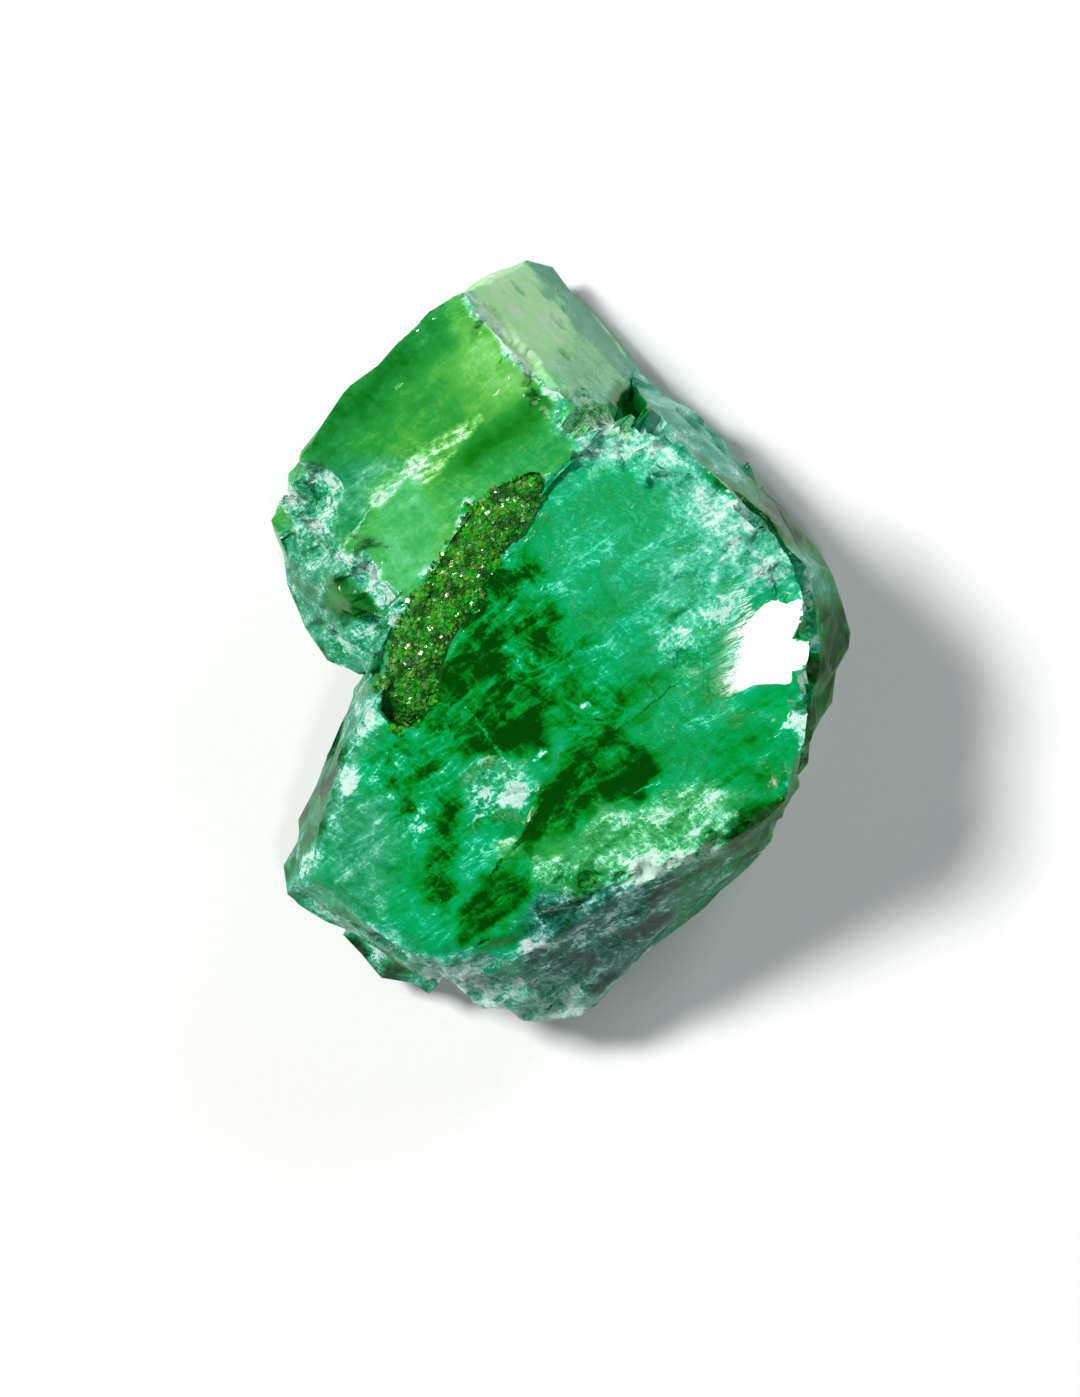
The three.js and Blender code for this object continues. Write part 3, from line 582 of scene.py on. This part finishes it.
def crystal_material(settings, groups):
    """Green crystal that goes from clear and dark to milky and white, as the fields say."""
    material, n, surface, output = new_material("fluorite_crystal")
    place = millimetres(n)

    def ramp(value, stops):
        node = n.add("ShaderNodeValToRGB", {"Fac": value})
        elements = node.color_ramp.elements
        elements.remove(elements[1])
        elements[0].position = stops[0][0]
        elements[0].color = (*stops[0][1], 1)
        for position, colour in stops[1:]:
            elements.new(position).color = (*colour, 1)
        return node.outputs["Color"]

    def veils(scale, detail, length, degrees):
        sockets = {
            "Position": place,
            "Scale": scale,
            "Detail": detail,
            "Length": length,
            "Turn": math.radians(degrees),
        }
        return n.group(groups["veils"], sockets)

    uphill = veils(0.34, 5.5, 0.36, -35)
    brushed = veils(2.4, 2.5, 0.12, -30)
    crossing = veils(0.8, 4.5, 0.5, 40)
    grit = n.group(groups["grit"], {"Position": place, "Scale": 2.3})
    wobble = n.add(
        "ShaderNodeTexNoise", {"Vector": place, "Scale": 1.1, "Detail": 3.0}
    ).outputs["Color"]
    wobble = n.add("ShaderNodeVectorMath", {0: wobble, "Scale": 0.9}, operation="SCALE").outputs[0]
    torn_place = n.add("ShaderNodeVectorMath", {0: place, 1: wobble}).outputs[0]
    torn_place = n.add(
        "ShaderNodeVectorMath", {0: torn_place, 1: (0.45, 0.45, 0.45)}, operation="SUBTRACT"
    ).outputs[0]

    milk = n.field("milk")
    torn = n.field("torn")
    sugary = n.math("MAXIMUM", n.span(milk, 0.35, 0.8), n.math("MULTIPLY", n.field("slate"), 0.7))
    frosted = n.math("MULTIPLY", sugary, torn)
    clouds = n.math("ADD", uphill["Clouds"], n.math("MULTIPLY", crossing["Clouds"], 0.6))
    change = n.math("MULTIPLY", n.math("SUBTRACT", clouds, 0.8), n.math("MULTIPLY", torn, 2.3))
    value = n.math("ADD", milk, change)
    shards = n.math("MULTIPLY", n.math("SUBTRACT", uphill["Shards"], 0.5), torn)
    value = n.math("ADD", value, n.math("MULTIPLY", shards, 0.32))
    wisps = n.math("ADD", uphill["Wisps"], n.math("MULTIPLY", crossing["Wisps"], 0.6))
    value = n.math("ADD", value, n.math("MULTIPLY", n.math("MULTIPLY", wisps, torn), 0.42))
    uneven = n.math("MULTIPLY", n.math("SUBTRACT", grit["Height"], 0.5), frosted)
    value = n.math("ADD", value, n.math("MULTIPLY", uneven, 1.7))
    # painted glints: a few tiny facets whitened in the colour as if they caught the light
    painted_glints = n.math("MULTIPLY", grit["Painted glints"], frosted)
    value = n.math("ADD", value, n.math("MULTIPLY", painted_glints, 0.6))
    patchy = n.span(grit["Height"], 0.35, 0.6, 0.3, 1.15)
    patchy = n.math("MULTIPLY", patchy, n.span(brushed["Clouds"], 0.4, 0.6, 0.35, 1.25))
    for line in LINES:
        sockets = {
            "Position": torn_place,
            "Start": line.start,
            "Course": tuple(b - a for a, b in zip(line.start, line.end)),
            "Width": line.width,
            "Strength": line.strength,
        }
        mark = n.math("MULTIPLY", n.group(groups["line"], sockets)["Value"], patchy)
        value = n.math("ADD", value, mark)

    colour = ramp(value, CLEAR_RAMP)
    colour = n.mix(n.field("leaf"), colour, ramp(value, LEAF_RAMP))
    colour = n.mix(n.field("slate"), colour, ramp(value, SLATE_RAMP))

    gloss = n.field("gloss")
    roughness = n.span(value, 0.55, 1.0, 0.09, 0.46)
    roughness = n.math("MULTIPLY", roughness, n.span(gloss, 0.0, 1.0, 1.0, 0.22))
    grain = n.math("MULTIPLY", grit["Height"], n.span(gloss, 0.0, 1.0, 0.06, 0.02))
    roughness = n.math("ADD", roughness, grain)
    roughness = n.math("ADD", roughness, n.math("MULTIPLY", n.field("feather"), 0.2), clamp=True)

    dull = n.span(gloss, 0.0, 1.0, 1.0, 0.03)
    coarse = n.math("ADD", 0.03, n.math("MULTIPLY", frosted, 0.2))
    height = n.math("MULTIPLY", grit["Height"], coarse)
    facets = n.math("MULTIPLY", grit["Facets"], n.math("MULTIPLY", frosted, 0.05))
    swell = n.math("MULTIPLY", uphill["Clouds"], n.span(milk, 0.1, 0.6, 0.05, 0.13))
    height = n.math("MULTIPLY", n.math("ADD", n.math("ADD", height, facets), swell), dull)
    brush = n.math("MULTIPLY", brushed["Clouds"], n.math("MULTIPLY", n.field("feather"), 0.1))
    bump = n.add(
        "ShaderNodeBump",
        {"Height": n.math("ADD", height, brush), "Strength": 1.0, "Distance": MM},
    )

    for key, socket in (
        ("Base Color", colour),
        ("Roughness", roughness),
        ("Normal", bump.outputs[0]),
    ):
        n.tree.links.new(socket, surface.inputs[key])
    surface.inputs["IOR"].default_value = FLUORITE_IOR
    surface.inputs["Specular IOR Level"].default_value = 0.0
    surface.inputs["Transmission Weight"].default_value = settings.clearness
    absorb = n.add("ShaderNodeVolumeAbsorption", {"Density": settings.absorption})
    absorb.inputs["Color"].default_value = (0.01, 0.8, 0.06, 1)
    n.tree.links.new(absorb.outputs[0], output.inputs["Volume"])
    return material


def dense_surface(mesh, edge):
    """The CAD solid's own surface, merged, every edge above its base split down to a length."""
    shape = bmesh.new()
    shape.from_mesh(mesh)
    bmesh.ops.remove_doubles(shape, verts=shape.verts, dist=0.002 * MM)
    bmesh.ops.triangulate(shape, faces=shape.faces)
    limit = edge * MM
    for _ in range(7):
        long = [
            e
            for e in shape.edges
            if e.calc_length() > limit and max(e.verts[0].co.z, e.verts[1].co.z) > 0.01 * MM
        ]
        if not long:
            break
        bmesh.ops.subdivide_edges(shape, edges=long, cuts=1)
        bmesh.ops.triangulate(shape, faces=[f for f in shape.faces if len(f.verts) > 3])
    dense = bpy.data.meshes.new("fluorite_surface")
    shape.to_mesh(dense)
    shape.free()
    points = np.zeros(len(dense.vertices) * 3)
    dense.vertices.foreach_get("co", points)
    return dense, points.reshape(-1, 3) / MM + SKETCH


def normals_of(mesh, points):
    """Each point's normal, the mesh having been given these points."""
    mesh.vertices.foreach_set("co", ((points - SKETCH) * MM).ravel())
    mesh.update()
    normals = np.zeros(len(points) * 3)
    mesh.vertex_normals.foreach_get("vector", normals)
    return normals.reshape(-1, 3)


def relax(mesh, points, weight, rounds):
    """Draws each point towards the middle of its neighbours, as much as its weight says."""
    edges = np.zeros(len(mesh.edges) * 2, np.int64)
    mesh.edges.foreach_get("vertices", edges)
    a, b = edges.reshape(-1, 2).T
    count = np.bincount(a, minlength=len(points)) + np.bincount(b, minlength=len(points))
    for _ in range(rounds):
        total = np.zeros_like(points)
        np.add.at(total, a, points[b])
        np.add.at(total, b, points[a])
        middle = total / count[:, None]
        points = points + weight[:, None] * (middle - points)
    return points


def cleave(points, normals, weight, count, size, depth, random):
    """Small flat breaks: round chosen points, what stands above a sunk plane is taken off.

    A plane leans from the surface there towards one of the eight corner directions of the cube,
    so that the breaks face a few shared ways and glint together.
    """
    corners = np.array(list(itertools.product((-1, 1), repeat=3))) / math.sqrt(3)
    weight = weight * (np.linalg.norm(normals, axis=1) > 0.5)
    chosen = random.choice(len(points), count, p=weight / weight.sum())
    for index in chosen:
        out = normals[index]
        facing = corners[corners @ out > 0.2]
        lean = facing[random.integers(len(facing))] + random.normal(0, 0.12, 3)
        normal = out + random.uniform(0.1, 0.5) * lean
        normal /= np.linalg.norm(normal)
        radius = size * random.uniform(0.5, 1.6)
        centre = points[index] - depth * random.uniform(0.4, 1.3) * out
        offset = points - centre
        near = np.flatnonzero(np.abs(offset).max(axis=1) < radius)
        height = offset[near] @ normal
        cut = (height > 0) & (np.linalg.norm(offset[near], axis=1) < radius)
        points[near[cut]] -= height[cut, None] * normal
    return points


class FluoriteSettings(bpy.types.PropertyGroup):
    """What can be set before the pieces are made."""

    edge: bpy.props.FloatProperty(
        name="Surface edge", description="Longest edge of the surface in mm", default=0.46
    )
    chips: bpy.props.IntProperty(
        name="Breaks", description="Small flat breaks on the frosted zones", default=620
    )
    clearness: bpy.props.FloatProperty(
        name="Clearness", description="Share of light that passes into the crystal", default=0.5
    )
    absorption: bpy.props.FloatProperty(
        name="Absorption", description="How fast the crystal takes up light, per metre", default=160
    )
    grains: bpy.props.IntProperty(
        name="Grains", description="Tiny crystals on the crust", default=11000
    )
    grain_size: bpy.props.FloatProperty(
        name="Grain size", description="Half width of an average grain in mm", default=0.115
    )
    seed: bpy.props.IntProperty(name="Seed", description="Start of the random choices", default=7)
    key_power: bpy.props.FloatProperty(
        name="Key light", description="Power of the light from the upper left", default=15.5,
        unit="POWER",
    )
    glare_power: bpy.props.FloatProperty(
        name="Glare light", description="Power of the small light overhead", default=3.8,
        unit="POWER",
    )


class FLUORITE_OT_crystals(bpy.types.Operator):
    """The intergrown crystals, one surface"""

    bl_idname = "fluorite.crystals"
    bl_label = "Crystals"

    def execute(self, context):
        settings = context.scene.fluorite
        random = np.random.default_rng(settings.seed)
        mesh, points = dense_surface(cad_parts["fluorite"].data, settings.edge)
        normals = normals_of(mesh, points)
        xy = points[:, :2]
        upward = smooth((normals[:, 2] - 0.3) / 0.4)
        base = points[:, 2] < 0.05

        on_top = np.clip(patch(xy, MAIN_TOP, 1.2) * 2 - 1, 0, 1) * upward
        crease = band(xy, PLATE_EDGE, 4.0) * (points[:, 2] > 15)
        points = relax(mesh, points, 0.5 * on_top, 24)
        above = points[:, 2] - MAIN_LEVEL - MAIN_RISE * points @ UPHILL
        flat = on_top * (1 - patch(xy, PLATE, 2.0)) * smooth((1.1 - np.abs(above)) / 0.4)
        points[:, 2] -= 0.8 * flat * above
        points = relax(mesh, points, 0.5 * crease, 90)
        normals = normals_of(mesh, points)

        fields = self.fields(points, upward)
        frosted = smooth((fields["milk"] - 0.55) / 0.3) * fields["torn"]
        points = cleave(
            points, normals, frosted**2 * ~base + 1e-9, settings.chips, 1.3, 0.28, random
        )
        normals = normals_of(mesh, points)

        calm = 1 - 0.97 * fields["gloss"]
        along = np.stack([points @ UPHILL * 0.22, points @ ACROSS, points[:, 2]], axis=1)
        ledges = np.round(rough(along, 3.0, 5) * 4) / 4
        relief = 0.12 * ledges * patch(xy, MAIN_TOP, 0.8) * upward
        relief += (0.03 + 0.1 * frosted) * rough(points, 1.4, 11)
        relief += 0.05 * noise(points, 4.0, 17)
        relief *= calm * (0.2 + 0.8 * smooth(fields["milk"] / 0.35))
        relief[base] = 0
        points = points + relief[:, None] * normals
        points[:, 2] = np.maximum(points[:, 2], 0)
        normals_of(mesh, points)

        for name, values in fields.items():
            write_field(mesh, name, values)
        mesh.materials.clear()
        mesh.materials.append(bpy.data.materials["fluorite_crystal"])
        shade(mesh, 24)
        piece = bpy.data.objects.new("crystals", mesh)
        context.scene.collection.objects.link(piece)
        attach(piece, "root")
        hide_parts("fluorite")
        return {"FINISHED"}

    def fields(self, points, upward):
        """What the stone is like at each point: the zones painted one over the other.

        The outlines are bent by noise of two sizes, so that no zone ends in a plain line.
        """
        bend = [
            0.9 * noise(points, 3.0, seed) + 0.45 * noise(points, 1.2, seed + 1)
            for seed in (31, 37)
        ]
        xy = points[:, :2]
        bent = xy + np.stack(bend, axis=1)
        fields = {
            "milk": np.full(len(points), 0.55),
            "torn": np.full(len(points), 0.6),
            "leaf": np.zeros(len(points)),
            "slate": np.full(len(points), 0.3),
        }
        for zone in ZONES:
            if zone.width:
                mask = band(bent, zone.outline, zone.width + 0.5 * zone.blur)
            else:
                mask = patch(bent if zone.blur > 0.6 else xy, zone.outline, zone.blur)
            for name, values in fields.items():
                values += mask * (getattr(zone, name) - values)
        cube_top = patch(xy, CUBE, 0.5) * (1 - patch(xy, BROKEN_END, 0.6)) * upward
        plate = patch(bent, PLATE, 1.6) * upward
        fields["feather"] = patch(bent, FEATHER, 1.8) * upward
        fields["gloss"] = most(plate, 0.8 * cube_top, 0.55 * patch(xy, FLANK, 1.0))
        return fields


def grain_material():
    """Glassy golden olive grains, each its own tone, the palest few painted white as glints, with
    darker patches painted as shade in the gaps.
    """
    material, n, surface, _ = new_material("druse_grains")
    place = millimetres(n)
    tone = n.field("tone")
    gap_shade_and_bumps = n.add("ShaderNodeTexNoise", {"Vector": place, "Scale": 0.9, "Detail": 4.0})
    colour = n.mix(n.span(tone, 0.0, 0.6), (0.001, 0.08, 0.001), (0.005, 0.24, 0.006))
    colour = n.mix(n.span(tone, 0.74, 1.0), colour, (0.15, 0.2, 0.012))
    # painted glints: the palest grains turn near white
    colour = n.mix(n.span(tone, 0.99, 1.0), colour, (0.85, 0.9, 0.4))
    # painted shade: darker patches stand for the gaps between grains; the same noise gives the
    # bumps
    colour = n.mix(n.span(gap_shade_and_bumps.outputs["Fac"], 0.45, 0.62, 0.0, 0.9), colour, (0.001, 0.05, 0.001))
    bump = n.add(
        "ShaderNodeBump",
        {"Height": gap_shade_and_bumps.outputs["Fac"], "Strength": 0.3, "Distance": 0.1 * MM},
    )
    n.tree.links.new(colour, surface.inputs["Base Color"])
    n.tree.links.new(bump.outputs[0], surface.inputs["Normal"])
    n.tree.links.new(n.span(tone, 0.0, 1.0, 0.5, 0.1), surface.inputs["Roughness"])
    surface.inputs["IOR"].default_value = FLUORITE_IOR
    surface.inputs["Coat Weight"].default_value = 0.25
    surface.inputs["Coat Roughness"].default_value = 0.06
    return material


class FLUORITE_OT_crust(bpy.types.Operator):
    """The sugary crust in the gully, a bed thick with tiny cubes"""

    bl_idname = "fluorite.crust"
    bl_label = "Crust"

    def execute(self, context):
        settings = context.scene.fluorite
        random = np.random.default_rng(settings.seed + 1)
        context.view_layer.update()
        points, faces, tones = self.bed()
        crystals = context.scene.objects["crystals"]
        cubes, cube_faces, cube_tones = self.grains(settings, random, crystals)
        piece = new_piece(
            "crust",
            np.concatenate([points, cubes]),
            [*faces, *(cube_faces + len(points))],
            bpy.data.materials["druse_grains"],
        )
        write_field(piece.data, "tone", np.concatenate([tones, cube_tones]))
        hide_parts("druse_crust")
        return {"FINISHED"}

    def at(self, along, across):
        """A point of the crust: along the gully's line from 0 to 1, across it from -1 to 1.

        The height is the bed's, highest in the middle and 0.3 mm lower at both banks.
        """
        line = np.array(GULLY, float)
        stations = np.linspace(0, 1, len(line))
        x, y, z, r = (np.interp(along, stations, line[:, k]) for k in range(4))
        ahead = np.clip(along + 0.02, 0, 1)
        behind = np.clip(along - 0.02, 0, 1)
        dx = np.interp(ahead, stations, line[:, 0]) - np.interp(behind, stations, line[:, 0])
        dy = np.interp(ahead, stations, line[:, 1]) - np.interp(behind, stations, line[:, 1])
        length = np.hypot(dx, dy)
        wide = r * 1.6
        height = z + 2.5 - 0.3 * across**2 - 1.2 * smooth((along - 0.86) / 0.14)
        return np.stack(
            [x - across * wide * dy / length, y + across * wide * dx / length, height], axis=-1
        )

    def bed(self):
        """The bed as a closed grid: its top follows at(), its underside lies 2 mm lower."""
        along, across = np.meshgrid(np.linspace(0, 1, 90), np.linspace(-1, 1, 14), indexing="ij")
        top = self.at(along, across)
        top[..., 2] += 0.12 * noise(top.reshape(-1, 3), 0.8, 3).reshape(top.shape[:2])
        low = top - np.array([0, 0, 2.0])
        rows, columns = along.shape
        points = np.concatenate([top.reshape(-1, 3), low.reshape(-1, 3)])
        index = np.arange(rows * columns).reshape(rows, columns)
        under = index + rows * columns
        quads = [
            np.stack([index[:-1, :-1], index[:-1, 1:], index[1:, 1:], index[1:, :-1]], -1),
            np.stack([under[:-1, :-1], under[1:, :-1], under[1:, 1:], under[:-1, 1:]], -1),
            np.stack([index[:-1, 0], index[1:, 0], under[1:, 0], under[:-1, 0]], -1),
            np.stack([index[1:, -1], index[:-1, -1], under[:-1, -1], under[1:, -1]], -1),
            np.stack([index[0, 1:], index[0, :-1], under[0, :-1], under[0, 1:]], -1),
            np.stack([index[-1, :-1], index[-1, 1:], under[-1, 1:], under[-1, :-1]], -1),
        ]
        faces = np.concatenate([q.reshape(-1, 4) for q in quads])
        tones = 0.35 * patch(points[:, :2], CRUST, 0.8)
        return points, faces, tones

    def grains(self, settings, random, crystals):
        """Cubes with random turns, sizes and tones, on the bed and over the stone beside it.

        They lie thickly inside the outline of the crust and thin out in clumps at its edge.
        """
        low, high = np.min(CRUST, axis=0) - 1.5, np.max(CRUST, axis=0) + 1.5
        xy = random.uniform(low, high, (settings.grains * 6, 2))
        flat = np.column_stack([xy, np.zeros(len(xy))])
        thick = patch(xy + 1.1 * rough(flat, 1.6, 41)[:, None], CRUST, 0.9)
        thick *= 1 - 0.55 * smooth((0.5 - xy[:, 1]) / 3)
        xy = xy[random.uniform(0, 1, len(xy)) < thick][: settings.grains]
        count = len(xy)
        height = self.bed_height(xy)
        for index, (x, y) in enumerate((xy - SKETCH[:2]) * MM):
            hit, place, _, _ = crystals.ray_cast(Vector((x, y, 0.1)), Vector((0, 0, -1)))
            if hit:
                height[index] = max(height[index], place.z / MM)
        centre = np.column_stack([xy, height + random.uniform(-0.12, 0.14, count)])
        half = settings.grain_size * random.uniform(0.45, 1.5, count)
        turn, _ = np.linalg.qr(random.normal(size=(count, 3, 3)))
        turn[np.linalg.det(turn) < 0, :, 0] *= -1
        corners = np.array(list(itertools.product((-1, 1), repeat=3)), float)
        cubes = np.einsum("nij,kj->nki", turn, corners) * half[:, None, None]
        points = (centre[:, None] + cubes).reshape(-1, 3)
        sides = np.array(
            [
                (0, 1, 3, 2), (4, 6, 7, 5), (0, 4, 5, 1),
                (2, 3, 7, 6), (0, 2, 6, 4), (1, 5, 7, 3),
            ]
        )
        faces = (sides[None] + 8 * np.arange(count)[:, None, None]).reshape(-1, 4)
        tones = np.repeat(random.uniform(0, 1, count), 8)
        return points, faces, tones

    def bed_height(self, xy):
        """The height of the bed's top at points seen from above, far below outside it."""
        along, across = np.meshgrid(np.linspace(0, 1, 160), np.linspace(-1, 1, 9), indexing="ij")
        surface = self.at(along, across).reshape(-1, 3)
        nearest = np.full(len(xy), np.inf)
        height = np.zeros(len(xy))
        for x, y, z in surface:
            distance = np.hypot(xy[:, 0] - x, xy[:, 1] - y)
            closer = distance < nearest
            nearest[closer] = distance[closer]
            height[closer] = z
        return np.where(nearest < 0.35, height, -10)


class FLUORITE_OT_stage(bpy.types.Operator):
    """Paper floor, lights and the camera overhead"""

    bl_idname = "fluorite.stage"
    bl_label = "Stage"

    def execute(self, context):
        settings = context.scene.fluorite
        scene = context.scene
        scene.view_settings.view_transform = "Standard"
        self.floor()
        self.light("key", (-0.52, 0.24, 0.78), 0.2, settings.key_power, (1.0, 0.985, 0.96))
        self.light("glare", (0.129, -0.344, 1.25), 0.11, settings.glare_power, (1, 1, 1))
        self.light("right", (0.5, 0.6, 0.5), 0.4, 0.3 * settings.key_power, (0.95, 0.98, 1))
        self.light("left", (-0.8, -0.1, 0.32), 0.4, 0.04 * settings.key_power, (0.95, 0.98, 1))
        world = bpy.data.worlds.new("pale_room")
        world.use_nodes = True
        world.node_tree.nodes["Background"].inputs["Color"].default_value = (0.7, 0.92, 1, 1)
        world.node_tree.nodes["Background"].inputs["Strength"].default_value = 0.07
        scene.world = world
        camera = bpy.data.objects.new("camera", bpy.data.cameras.new("camera"))
        camera.data.lens = 200
        camera.data.sensor_width = 36
        camera.data.clip_start = 0.01
        camera.location = (np.array([-1.7, -4.2, 624]) - SKETCH) * MM
        scene.collection.objects.link(camera)
        scene.camera = camera
        return {"FINISHED"}

    def floor(self):
        """A sheet of pale paper, larger than the view, which the lights make white."""
        material, n, surface, _ = new_material("paper")
        place = millimetres(n)
        fibre = n.add("ShaderNodeTexNoise", {"Vector": place, "Scale": 1.2, "Detail": 4.0})
        shade_of = n.mix(fibre.outputs["Fac"], (0.55, 0.56, 0.56), (0.59, 0.59, 0.59))
        n.tree.links.new(shade_of, surface.inputs["Base Color"])
        surface.inputs["Roughness"].default_value = 0.9
        half = 900 * MM
        mesh = bpy.data.meshes.new("paper")
        corners = [(-half, -half, 0), (half, -half, 0), (half, half, 0), (-half, half, 0)]
        mesh.from_pydata(corners, [], [(0, 1, 2, 3)])
        mesh.materials.append(material)
        paper = bpy.data.objects.new("paper", mesh)
        paper.location.z = -0.02 * MM
        bpy.context.scene.collection.objects.link(paper)

    def light(self, name, place, size, power, colour):
        """A square light at a place in metres, aimed at the specimen."""
        data = bpy.data.lights.new(name, "AREA")
        data.size = size
        data.energy = power
        data.color = colour
        lamp = bpy.data.objects.new(name, data)
        lamp.location = place
        aim = Vector((0, 0, 0.015)) - lamp.location
        lamp.rotation_euler = aim.to_track_quat("-Z", "Y").to_euler()
        bpy.context.scene.collection.objects.link(lamp)


class FLUORITE_OT_materials(bpy.types.Operator):
    """The finishes that the pieces take"""

    bl_idname = "fluorite.materials"
    bl_label = "Materials"

    def execute(self, context):
        groups = {"veils": veil_group(), "line": line_group(), "grit": grit_group()}
        crystal_material(context.scene.fluorite, groups)
        grain_material()
        return {"FINISHED"}


class FLUORITE_PT_panel(bpy.types.Panel):
    """The settings and the pieces, in the order they are made"""

    bl_idname = "FLUORITE_PT_panel"
    bl_label = "Fluorite"
    bl_space_type = "VIEW_3D"
    bl_region_type = "UI"
    bl_category = "Fluorite"

    def draw(self, context):
        settings = context.scene.fluorite
        for name in FluoriteSettings.__annotations__:
            self.layout.prop(settings, name)
        for operator in PIECES:
            self.layout.operator(operator.bl_idname)


PIECES = (
    FLUORITE_OT_materials,
    FLUORITE_OT_crystals,
    FLUORITE_OT_crust,
    FLUORITE_OT_stage,
)
CLASSES = (FluoriteSettings, *PIECES, FLUORITE_PT_panel)


def register():
    """Makes the settings, the pieces and the panel known."""
    for each in CLASSES:
        bpy.utils.register_class(each)
    bpy.types.Scene.fluorite = bpy.props.PointerProperty(type=FluoriteSettings)


def unregister():
    """Takes them out again."""
    del bpy.types.Scene.fluorite
    for each in reversed(CLASSES):
        bpy.utils.unregister_class(each)


def main():
    """Makes every piece in order."""
    register()
    for operator in PIECES:
        group, name = operator.bl_idname.split(".")
        getattr(getattr(bpy.ops, group), name)()


if __name__ == "__main__":
    main()
